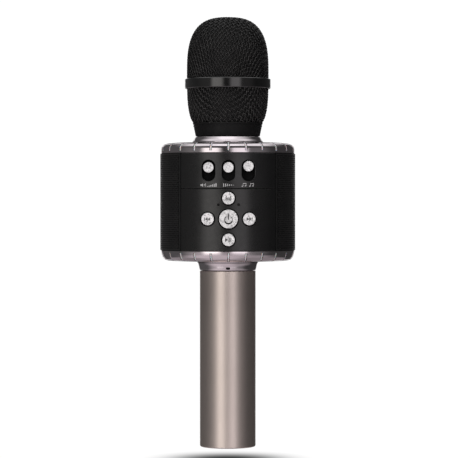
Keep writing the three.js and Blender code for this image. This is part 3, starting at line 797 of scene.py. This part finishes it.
def light_bars(outside):
    """The milky bars that fill the light slots, just under the plating, on their hoop."""
    first, last = slot_span(outside)
    top = offset_inwards(outside, BAR_TOP)[first:last + 1]
    deep = offset_inwards(outside, BAR_FOOT)[first:last + 1]
    top[0] = (top[0][0], top[0][1] + BAR_RAISE)
    half = SLOT_HALF_ANGLE * BAR_WIDTH
    size = len(top)
    first_end = tuple(row * size for row in range(4))
    last_end = tuple(row * size + size - 1 for row in range(4))
    faces = [*grid(4, size), first_end[::-1], last_end]
    bars = []
    for n in range(LIGHT_SLOTS):
        middle = -math.pi / 2 + n * 2 * math.pi / LIGHT_SLOTS
        rows = ((middle - half, deep), (middle - half, top), (middle + half, top),
                (middle + half, deep))
        bars.append(([point_at(angle, r, z) for angle, profile in rows for r, z in profile], faces))
    hoop = lathe([
        (33.4, BEZEL_TOP - 3.3), (36.6, BEZEL_TOP - 3.3), (38.2, BEZEL_TOP - 4.4),
        (38.9, BEZEL_TOP - 4.4), (38.9, BEZEL_TOP - 3.4), (36.9, BEZEL_TOP - 1.75),
        (33.4, BEZEL_TOP - 1.75),
    ], 120)
    return merge(hoop, *bars)


def make_bezels():
    """The two plated rings with their lights: the lower one is built the same way and mirrored."""
    skins = {"upper": (moved, UPPER_OUTSIDE), "lower": (under, LOWER_OUTSIDE)}
    for side, (turn, outside) in skins.items():
        piece(f"{side}_bezel_plated", turn(slotted_bezel(outside)), ROSE, f"{side}_bezel",
              sharp=50)
        piece(f"{side}_light_bars", turn(light_bars(outside)), MILKY, f"{side}_light_guide")


HOLE_PITCH, HOLE_R, HOLE_SIDES = 1.409, 0.43, 12
SHEET = 0.5  # thickness of the perforated sheet
PANEL_ANGLE = math.asin(PANEL_EDGE / DRUM_R)
GRILLE_START = PANEL_ANGLE + 0.008  # angle from the front at which the grille begins
GRILLE_END = 2 * math.pi - GRILLE_START
GRILLE_MARGIN = 1.0  # width of the plain strip round the holes
GRILLE_STEPS = 160


def perforated(side):
    """Half of the wrapped grille, -1 for left and 1 for right, with a real hole in each cell."""
    row_pitch = HOLE_PITCH * math.sqrt(3) / 2
    low, high = PANEL_LOW + GRILLE_MARGIN / 2, PANEL_HIGH - GRILLE_MARGIN / 2
    rows = int((high - low) / row_pitch)
    z0 = (low + high - (rows - 1) * row_pitch) / 2
    length = (math.pi - GRILLE_START) * DRUM_R
    count = int((length - GRILLE_MARGIN) / HOLE_PITCH)
    corners = [polar(HOLE_PITCH / math.sqrt(3), math.radians(30 + 60 * k)) for k in range(6)]
    rim = [polar(HOLE_R, a) for a in turns(HOLE_SIDES)]
    cell_faces = []
    for k in range(6):
        c, after = k, (k + 1) % 6
        ring = [6 + (2 * k + j) % HOLE_SIDES for j in range(3)]
        cell_faces += [(c, ring[1], ring[0]), (c, ring[2], ring[1]), (c, after, ring[2])]
    for k in range(HOLE_SIDES):
        a, b = 6 + k, 6 + (k + 1) % HOLE_SIDES
        cell_faces.append((a, b, b + HOLE_SIDES, a + HOLE_SIDES))
    if side > 0:
        cell_faces = [face[::-1] for face in cell_faces]
    vertices, faces = [], []
    for row in range(rows):
        z = z0 + row * row_pitch
        for k in range(count):
            s = (k + (0.5 if row % 2 else 0.0)) * HOLE_PITCH
            start = len(vertices)
            for points, r in ((corners, DRUM_R), (rim, DRUM_R), (rim, DRUM_R - SHEET)):
                for dx, dz in points:
                    vertices.append(point_at(math.pi / 2 - side * (s + dx) / DRUM_R, r, z + dz))
            faces += [tuple(start + i for i in face) for face in cell_faces]
    return vertices, faces


def grille_frame():
    """The plain margins of the grille: along both panel edges, and top and bottom."""
    parts = []
    for low, high in ((PANEL_LOW, PANEL_LOW + GRILLE_MARGIN),
                      (PANEL_HIGH - GRILLE_MARGIN, PANEL_HIGH)):
        parts.append(arc_strip(GRILLE_START, GRILLE_END, low, high, GRILLE_STEPS))
    margin = GRILLE_MARGIN / DRUM_R
    for start in (GRILLE_START, GRILLE_END - margin):
        parts.append(arc_strip(start, start + margin, PANEL_LOW, PANEL_HIGH, 3))
    return merge(*parts)


def arc_strip(start, end, low, high, steps, proud=0.02, wall=SHEET):
    """A curved strip of sheet round the drum, between two angles from the front."""
    outer, inner = DRUM_R + proud, DRUM_R - wall
    vertices = []
    for k in range(steps + 1):
        angle = -math.pi / 2 + start + (end - start) * k / steps
        vertices += [point_at(angle, r, z) for r, z in ((inner, low), (outer, low),
                                                        (outer, high), (inner, high))]
    last = 4 * steps
    ends = [(3, 2, 1, 0), (last, last + 1, last + 2, last + 3)]
    return vertices, grid(steps + 1, 4, closed=True) + ends


POWER_R, BUTTON_R = 5.55, 3.7
BUTTONS = {
    "power": (0, BUTTON_Z, POWER_R),
    "mode": (0, BUTTON_Z + BUTTON_PITCH, BUTTON_R),
    "play": (0, BUTTON_Z - BUTTON_PITCH, BUTTON_R),
    "previous": (-BUTTON_PITCH, BUTTON_Z, BUTTON_R),
    "next": (BUTTON_PITCH, BUTTON_Z, BUTTON_R),
}
SLIDERS = {"volume": -SLIDER_PITCH, "echo": 0.0, "music": SLIDER_PITCH}
INDICATOR_X, INDICATOR_Z, INDICATOR_R = 6.05, 146.6, 0.52
PANEL_SEAM_HALF = 0.14
BUTTON_GAP, LENS_GAP = 0.6, 0.1  # between the panel and what stands in its holes
CLOTH_GAP, CLOTH_EDGE, CLOTH_WALL = 0.05, 0.2, 0.15  # the dark cloth behind the sheet


def make_drum():
    for side, name in ((-1, "left"), (1, "right")):
        piece(f"grille_{name}", perforated(side), SHEET_BLACK, "speaker_grille",
              sharp=30)
    piece("grille_margins", grille_frame(), SHEET_BLACK, "speaker_grille")
    cloth_face = SHEET + CLOTH_GAP
    cloth = arc_strip(GRILLE_START, GRILLE_END, PANEL_LOW + CLOTH_EDGE, PANEL_HIGH - CLOTH_EDGE,
                      GRILLE_STEPS, -cloth_face, cloth_face + CLOTH_WALL)
    piece("grille_cloth", cloth, FOAM)

    slots = [stadium(x, SLOT_Z, SLOT_WIDTH, SLOT_HEIGHT) for x in SLIDERS.values()]
    upper = rectangle(-PANEL_EDGE, PANEL_SEAM + PANEL_SEAM_HALF, PANEL_EDGE, PANEL_HIGH)
    holes = [circle(x, z, r + BUTTON_GAP) for x, z, r in BUTTONS.values()]
    holes += [circle(s * INDICATOR_X, INDICATOR_Z, INDICATOR_R + LENS_GAP, 20) for s in (-1, 1)]
    lower = rectangle(-PANEL_EDGE, PANEL_LOW, PANEL_EDGE, PANEL_SEAM - PANEL_SEAM_HALF)
    panels = {"slider_panel": (upper, slots, 0.3), "button_panel": (lower, holes, 0.26)}
    for name, (outline, openings, edge) in panels.items():
        panel = plate(outline, openings, on_drum, PANEL_WALL, edge)
        piece(f"{name}_moulded", panel, PANEL_BLACK, name, even=True)


# ---- controls ----


def bar(x, y, width, height):
    """A filled rectangle about a centre."""
    w, h = width / 2, height / 2
    return [(x - w, y - h), (x + w, y - h), (x + w, y + h), (x - w, y + h)]


def oval(x, y, width, height, steps=12):
    """A filled oval about a centre."""
    return [(x + width / 2 * math.cos(a), y + height / 2 * math.sin(a)) for a in turns(steps)]


def arc(x, y, r, width, start, end, steps=20):
    """A curved stroke, from one angle to another in degrees, as convex tiles."""
    angles = [math.radians(start + (end - start) * k / steps) for k in range(steps + 1)]
    outer = [polar(r + width / 2, a, x, y) for a in angles]
    inner = [polar(r - width / 2, a, x, y) for a in angles]
    return [[outer[k], outer[k + 1], inner[k + 1], inner[k]] for k in range(steps)]


def triangle(x, y, width, height, side):
    """A triangle that points left (-1) or right (1)."""
    w, h = width / 2 * side, height / 2
    loop = [(x - w, y - h), (x + w, y), (x - w, y + h)]
    return loop if side > 0 else loop[::-1]


ICONS = {
    "power": [*arc(0, -0.4, 2.3, 0.4, 128, 412), *arc(0, -0.4, 2.3, 0.9, 205, 335),
              bar(0, 1.4, 0.72, 3.4)],
    "mode": [bar(-1.35, 0, 0.55, 2.7), bar(-0.45, -0.5, 0.55, 1.7), bar(0.45, -0.5, 0.55, 1.7),
             bar(1.35, 0, 0.55, 2.7)],
    "play": [triangle(-1.15, 0, 1.6, 2.2, 1), bar(0.45, 0, 0.5, 2.2), bar(1.4, 0, 0.5, 2.2)],
    "previous": [bar(-1.75, 0, 0.4, 1.9), triangle(-0.75, 0, 1.4, 1.8, -1),
                 triangle(0.7, 0, 1.4, 1.8, -1)],
    "next": [triangle(-0.7, 0, 1.4, 1.8, 1), triangle(0.75, 0, 1.4, 1.8, 1),
             bar(1.75, 0, 0.4, 1.9)],
}


def surface_depth(x):
    """How far in front of the axis the drum's surface lies at x."""
    return math.sqrt(DRUM_R**2 - x * x)


MIDDLE_PROUD, SIDE_PROUD = 0.95, 1.3  # how far the buttons stand out of the panel


def make_buttons():
    for name, (x, z, r) in BUTTONS.items():
        body = f"{name}_key"
        face = surface_depth(x) + (SIDE_PROUD if x else MIDDLE_PROUD)
        back = face - 1.9
        cap = turned_front([
            (0, back, 0), (r - 0.05, back), (r, face - 1.6), (r, face, 0.42),
            (r - 0.7, face + 0.02, 0), (r * 0.75, face - 0.06, 0), (0, face - 0.08, 0),
        ], 0.1, 64, x, z, rounding=5)
        piece(f"{name}_button_cap", cap, SILVER, f"{name}_button", body=body, even=True)
        stem_r, stem_end = 1.4, face - 10.5
        flange_r, flange_front, flange_back = r + 0.85, face - 3.0, face - 3.6
        skirt = turned_front([
            (0, stem_end, 0), (stem_r, stem_end), (stem_r, flange_back), (flange_r, flange_back),
            (flange_r, flange_front), (r - 0.1, flange_front), (r - 0.1, back), (0, back, 0),
        ], 0.1, 48, x, z)
        piece(f"{name}_button_skirt", skirt, SHADOW_BLACK, body=body)
        marks = merge(*(prism(tile, face - 0.2, face - 0.02) for tile in ICONS[name]))
        piece(f"{name}_button_mark", to_front(marks, x, z), ICON_INK, body=body)


KNOB_Z = {"volume": 168.6, "echo": 168.6, "music": 169.3}
KNOB_R, KNOB_PROUD = 3.05, 0.9
SHIELD_HALF, SHIELD_LOW, SHIELD_HIGH = 4.65, -8.85, 7.85  # the dust shield about its knob
SHIELD_CLEAR_HALF = 4.7  # half the room the shield needs behind the curved panel
SHIELD_WALL = 0.75
BOSS_R, BOSS_SUNK = 3.45, 0.45


def shield_front(x):
    """The Y of the front of the dust shield behind the slot at x."""
    reach = abs(x) + SHIELD_CLEAR_HALF
    return -math.sqrt((DRUM_R - PANEL_WALL) ** 2 - reach * reach) + 0.3


def make_carriage(name, x, z):
    """The boss that carries a knob, on a dust shield that keeps its slot closed."""
    shield_y = shield_front(x)
    outline = rectangle(-SHIELD_HALF, SHIELD_LOW, SHIELD_HALF, SHIELD_HIGH, radius=0.5, across=6,
                        up=8)
    shield = plate(outline, [], lambda a, b, depth: (x + a, shield_y + depth, z + b),
                   SHIELD_WALL, edge=0.12, spacing=3.0)
    boss_face = surface_depth(x) - BOSS_SUNK
    boss = turned_front([
        (BOSS_R, -shield_y - 0.3), (BOSS_R, boss_face, 0.3), (0, boss_face, 0),
    ], 0.1, 48, x, z)
    ridge = [to_front(prism(tile, -shield_y - 0.05, -shield_y + 0.2), x, z)
             for tile in arc(0, 0, 4.9, 0.35, 235, 305)]
    piece(f"{name}_slider_carriage", merge(shield, boss, *ridge), SHADOW_BLACK, f"{name}_carriage",
          body=f"{name}_slider")


def make_sliders():
    for name, x in SLIDERS.items():
        z = KNOB_Z[name]
        face = surface_depth(x) + KNOB_PROUD
        knob = turned_front([
            (0, face - 1.1, 0), (KNOB_R - 0.1, face - 1.1), (KNOB_R, face - 0.9),
            (KNOB_R, face, 0.35), (KNOB_R - 0.75, face, 0.1), (KNOB_R - 1.0, face - 0.14, 0.1),
            (0, face - 0.14, 0),
        ], 0.08, 56, x, z, rounding=5)
        piece(f"{name}_slider_knob", knob, SILVER, f"{name}_knob", body=f"{name}_slider",
              even=True)
        make_carriage(name, x, z)


LABEL_Z = 158.2
INK_PROUD, INK_SUNK = 0.025, 0.05  # of the printed marks' faces and feet, from the panel


def wrapped_marks(shapes, x, z):
    """Printed shapes that lie on the curved panel."""
    parts = []
    for loop in shapes:
        n = len(loop)
        vertices = [on_drum(x + a, z + b, -INK_PROUD) for a, b in loop]
        vertices += [on_drum(x + a, z + b, INK_SUNK) for a, b in loop]
        walls = [(i, n + i, n + (i + 1) % n, (i + 1) % n) for i in range(n)]
        parts.append((vertices, [tuple(range(n)), *walls]))
    return merge(*parts)


def beamed_notes(x):
    """Two quavers joined by a beam: heads, stems and the slanting beam."""
    heads = [oval(x + dx, -0.68 + dy, 1.0, 0.72) for dx, dy in ((0, 0), (1.8, 0.2))]
    stems = [bar(x + 0.38, 0.1, 0.26, 1.5), bar(x + 2.18, 0.3, 0.26, 1.5)]
    beam = [(x + 0.25, 0.6), (x + 2.31, 0.8), (x + 2.31, 1.2), (x + 0.25, 1.0)]
    return [*heads, *stems, beam]


def make_labels():
    """A loudspeaker with a level wedge, echoes that fade, and quavers: one under each slot."""
    speaker = [bar(-4.3, 0, 0.7, 0.9), [(-3.9, -0.45), (-3.1, -1.05), (-3.1, 1.05), (-3.9, 0.45)]]
    waves = [tile for r in (0.9, 1.6) for tile in arc(-3.1, 0, r, 0.3, -38, 38, 8)]
    wedge = [bar(-0.5 + 1.0 * k, -1.0 + 0.17 * (k + 1), 0.6, 0.34 * (k + 1)) for k in range(6)]
    echoes = [bar(-2.9 + 1.15 * k, 0, 0.5, 2.1 - 0.34 * k) for k in range(6)]
    notes = [shape for x in (-3.6, 0.8) for shape in beamed_notes(x)]
    labels = {"volume": speaker + waves + wedge, "echo": echoes, "music": notes}
    for name, shapes in labels.items():
        piece(f"{name}_label", wrapped_marks(shapes, SLIDERS[name], LABEL_Z), LABEL_INK)


LENS_BACK = 27.9  # how far in front of the axis the lamps' lenses start
LENS_SUNK = 0.6


def make_indicators():
    for side, name in ((-1, "left"), (1, "right")):
        x = side * INDICATOR_X
        face = surface_depth(x) - LENS_SUNK
        lens = turned_front([
            (0, LENS_BACK, 0), (INDICATOR_R, LENS_BACK), (INDICATOR_R, face - 0.25, 0.3),
            (0, face, 0),
        ], 0.05, 20, x, INDICATOR_Z)
        piece(f"{name}_indicator_lens", lens, SMOKED, f"{name}_indicator")


# ---- collar, handle and base ----

COLLAR_TOP = 112.28
COLLAR = [(16.95, 106.95), (17.1, 107.2), (17.35, 108.1), (17.6, 109.4), (17.95, 110.7),
          (18.3, 111.6), (18.5, 112.0), (18.45, COLLAR_TOP)]
COLLAR_MEAN_R, COLLAR_BORE, COLLAR_STEPS = 17.0, 15.6, 140
COLLAR_FOOT = 106.98
SCREW_Z = 108.25
# heights of the dark ring that paints the shadow line under the lower bezel
SHADOW_RING_LOW, SHADOW_RING_HIGH = 111.4, 111.8
TUBE_R, TUBE_TOP = 16.88, 106.55


def collar_surface(u, z, depth):
    """A point on the lower collar: u is the arc from the front at the collar's mean radius."""
    r = float(np.interp(z, [p[1] for p in COLLAR], [p[0] for p in COLLAR])) - depth
    angle = u / COLLAR_MEAN_R
    return (r * math.sin(angle), -r * math.cos(angle), z)


def make_collar():
    """The plated flare, with the oval hole and the screw that holds the handle."""
    half = math.pi * COLLAR_MEAN_R
    outline = rectangle(-half, COLLAR_FOOT - 0.01, half, COLLAR_TOP, radius=0.02,
                        across=COLLAR_STEPS, up=8)
    skin = plate(outline, [stadium(0, SCREW_Z, 2.5, 1.35, 12)], collar_surface, wall=1.0,
                 edge=0.12, spacing=0.9)
    top = lathe([(18.3, COLLAR_TOP), (COLLAR_BORE, COLLAR_TOP)], COLLAR_STEPS, closed=False)
    foot = lathe([(COLLAR_BORE, COLLAR_FOOT), (16.9, COLLAR_FOOT)], COLLAR_STEPS, closed=False)
    piece("collar_plated", merge(skin, top, foot), ROSE, "lower_collar", sharp=50)
    # A dark rubber ring near the collar's top stands in for the shadow line between the collar and
    # the lower bezel: painted shade.
    shadow_ring = turned([
        (17.6, SHADOW_RING_LOW), (18.3, SHADOW_RING_LOW), (18.45, SHADOW_RING_HIGH), (17.6, SHADOW_RING_HIGH),
    ], 0.1, COLLAR_STEPS)
    piece("collar_shadow_ring", shadow_ring, RUBBER)
    screw = turned_front([
        (0, 15.55, 0), (0.6, 15.55), (0.6, 16.55, 0.1), (0.3, 16.6, 0), (0.28, 16.0, 0),
        (0, 16.0, 0),
    ], 0.05, 6, 0, SCREW_Z)
    piece("collar_set_screw", screw, BODY_BLACK, "handle_set_screw", sharp=20)


def make_handle():
    tube = turned([
        (15.5, 0.02), (16.4, 0.02, 0.2), (TUBE_R, 0.55, 0.5), (TUBE_R, 105.9, 0),
        (TUBE_R, TUBE_TOP, 0.25), (15.5, TUBE_TOP),
    ], 0.15, 192, rounding=5)
    piece("handle_anodised", tube, CHAMPAGNE, "handle_tube", even=True)


CAP_R, CAP_SKIRT_R, CAP_SIDES = 15.1, 14.0, 96
BASE_SCREWS = [(8.6, 7.1), (-8.6, -7.1)]


def on_base(x, y, depth):
    """A point on the end cap, at x and y as seen from below."""
    return (-x, y, depth)


def make_base():
    """The end cap, with its openings for charging, sound and a card, and its two screws."""
    usb = stadium(0, 7.5, 9.3, 3.7, 16)
    jack = circle(8, 0, 2.5, 32)
    card = rectangle(-6.6, -8.55, 5.0, -7.05, radius=0.3, across=8, up=2)
    screw_holes = [circle(-x, y, 2.25, 24) for x, y in BASE_SCREWS]
    face = plate(circle(0, 0, CAP_R, CAP_SIDES), [usb, jack, card, *screw_holes], on_base,
                 wall=1.6, edge=0.2, spacing=1.6)
    skirt = lathe([(CAP_R, 0.3), (CAP_R, 8.9), (CAP_SKIRT_R, 8.9), (CAP_SKIRT_R, 1.7)], CAP_SIDES,
                  closed=False)
    floor = lathe([(CAP_SKIRT_R, 1.65), (12.6, 1.65)], CAP_SIDES, closed=False)
    piece("end_cap_moulded", merge(face, skirt, floor), BODY_BLACK, "end_cap",
          even=True)
    screw = turned([
        (0, 1.0, 0), (0.75, 1.0, 0), (0.75, 0.4, 0.06), (1.85, 0.45, 0.25), (1.95, 0.8, 0.1),
        (1.0, 1.4, 0.1), (1.0, 6.9, 0.1), (0, 6.9, 0),
    ], 0.1, 6, closed=False)
    for number, (x, y) in enumerate(BASE_SCREWS, 1):
        piece(f"base_screw_{number}", moved(screw, x, y), STEEL, f"end_cap_screw_{number}",
              sharp=30)


# ---- light, floor and camera ----


class Studio(Nodes):
    """The studio's light as a function of direction: azimuth from the front, and elevation."""

    def __init__(self, tree):
        super().__init__(tree)
        toward = self.add("ShaderNodeTexCoord", {}).outputs["Generated"]
        parts = self.add("ShaderNodeSeparateXYZ", {0: toward}).outputs
        self.azimuth = self.maths("ARCTAN2", parts["X"], self.maths("MULTIPLY", parts["Y"], -1.0))
        self.elevation = self.maths("ARCSINE", parts["Z"])

    def window(self, value, middle, half, soft):
        """1 within half of the middle, falling softly to 0. Angles are in degrees."""
        away = self.maths("ABSOLUTE", self.maths("SUBTRACT", value, math.radians(middle)))
        return self.spread(away, 1.0, 0.0, math.radians(half), math.radians(half + soft),
                           interpolation_type="SMOOTHSTEP")

    def vector(self, operation, inputs):
        return self.add("ShaderNodeVectorMath", inputs, operation=operation).outputs["Vector"]

    def box(self, across, up, strength, colour):
        """A soft light: across and up are each (middle, half, soft) in degrees."""
        mask = self.window(self.elevation, *up)
        if across:
            mask = self.maths("MULTIPLY", mask, self.window(self.azimuth, *across))
        return self.vector("SCALE", {0: colour, "Scale": self.maths("MULTIPLY", mask, strength)})

    def total(self, vectors):
        total = vectors[0]
        for vector in vectors[1:]:
            total = self.vector("ADD", {0: total, 1: vector})
        return total


WARM, PINK, PLAIN = (1.0, 0.965, 0.935), (1.0, 0.95, 0.97), (1.0, 0.99, 0.995)
LOW_PINK = (1.0, 0.885, 0.93)
BACKGROUND = 1.05  # brightness of the surroundings as the camera sees them
FLOOR_GLOW = 1.04
PAINTED_SHADOW_REACH = 0.036  # radius of the painted shadow on the floor, in metres
CAMERA_PLACE, CAMERA_AIM = (-0.0152, -1.450, 0.1494), (0.0047, 0, 0.1318)
LENS, SENSOR = 182.8, 36.0


def make_world():
    """White to the eye, and a studio of soft boxes to everything that is lit by it."""
    world = bpy.data.worlds.new("studio")
    bpy.context.scene.world = world
    world.use_nodes = True
    world.node_tree.nodes.clear()
    light = Studio(world.node_tree)
    studio = light.total([
        light.box((-29, 9, 12), (-4, 16, 7), 1.34, WARM),
        light.box((20, 8, 11), (-4, 16, 7), 1.08, PINK),
        light.box((-50, 12, 34), (-5, 22, 14), 0.09, WARM),
        light.box((44, 10, 30), (-5, 22, 14), 0.11, PINK),
        light.box((-20, 22, 54), (-42, 22, 10), 0.33, LOW_PINK),
        light.box(None, (-90, 60, 8), 0.24, LOW_PINK),
        light.box(None, (90, 30, 26), 1.0, PLAIN),
        light.box((-6, 26, 34), (64, 8, 9), 0.42, PLAIN),
        light.box((178, 24, 30), (56, 10, 16), 0.9, PLAIN),
        light.box((-90, 40, 45), (0, 30, 20), 0.05, PLAIN),
        light.box((168, 4, 6), (2, 20, 12), 0.8, PLAIN),
        light.box((-168, 4, 6), (2, 20, 12), 0.9, PLAIN),
        light.box(None, (0, 90, 5), 0.05, PLAIN),
    ])
    lit = light.add("ShaderNodeBackground", {"Color": studio})
    seen = light.add("ShaderNodeBackground", {"Color": (1, 1, 1, 1), "Strength": BACKGROUND})
    to_camera = light.add("ShaderNodeLightPath", {}).outputs["Is Camera Ray"]
    mix = light.add("ShaderNodeMixShader", {0: to_camera, 1: lit.outputs[0], 2: seen.outputs[0]})
    light.add("ShaderNodeOutputWorld", {"Surface": mix.outputs[0]})
    bpy.context.scene.view_settings.view_transform = "Standard"


def aim(thing, target):
    """Turns a lamp or a camera to look at a point."""
    away = Vector(target) - thing.location
    thing.rotation_euler = away.to_track_quat("-Z", "Y").to_euler()


def make_fill_light(name, location, size, power):
    """A wide lamp that lights matt surfaces and doesn't show in the polished ones."""
    data = bpy.data.lights.new(name, "AREA")
    data.size, data.energy = size, power
    lamp = placed(name, data)
    lamp.location = location
    aim(lamp, (0, 0, 0.15))
    lamp.visible_glossy = False


def floor_white():
    """A plain white floor that glows, with a painted soft round shadow about the microphone's foot.
    """
    s = Shader("floor_white")
    # The glow is lowered near the microphone's axis: a painted shadow, not one cast by any lamp.
    distance = s.add("ShaderNodeVectorMath", {0: s.place}, operation="LENGTH").outputs["Value"]
    fall = s.maths("POWER", s.maths("DIVIDE", distance, PAINTED_SHADOW_REACH), 3.0)
    dark = s.maths("EXPONENT", s.maths("MULTIPLY", fall, -1.0))
    glow = s.add("ShaderNodeEmission", {"Strength": s.maths("SUBTRACT", FLOOR_GLOW, dark)})
    s.feed(s.tree.nodes["Material Output"].inputs["Surface"], glow.outputs[0])
    return s.material


def make_floor():
    """The floor is only seen: it neither lights the microphone nor shows in it."""
    mesh = bpy.data.meshes.new("floor")
    half = 30.0
    corners = [(-half, -half, 0), (half, -half, 0), (half, half, 0), (-half, half, 0)]
    mesh.from_pydata(corners, [], [(0, 1, 2, 3)])
    mesh.materials.append(floor_white())
    floor = placed("floor", mesh)
    floor.location.z = FLOOR_Z * MM
    floor.visible_glossy = False
    floor.visible_diffuse = False
    floor.visible_transmission = False
    floor.visible_shadow = False


def make_camera():
    data = bpy.data.cameras.new("camera")
    data.lens, data.sensor_width = LENS, SENSOR
    data.clip_start, data.clip_end = 0.05, 100
    camera = placed("camera", data)
    camera.location = CAMERA_PLACE
    aim(camera, CAMERA_AIM)
    bpy.context.scene.camera = camera


make_camera()
make_world()
make_fill_light("front_fill", (-0.4, -1.6, 0.9), 1.2, 17)
make_fill_light("back_fill", (0.5, 1.6, 0.9), 1.2, 8)
make_floor()
finish_cad_nodes()
make_head()
make_neck()
make_bezels()
make_drum()
make_buttons()
make_sliders()
make_labels()
make_indicators()
make_collar()
make_handle()
make_base()
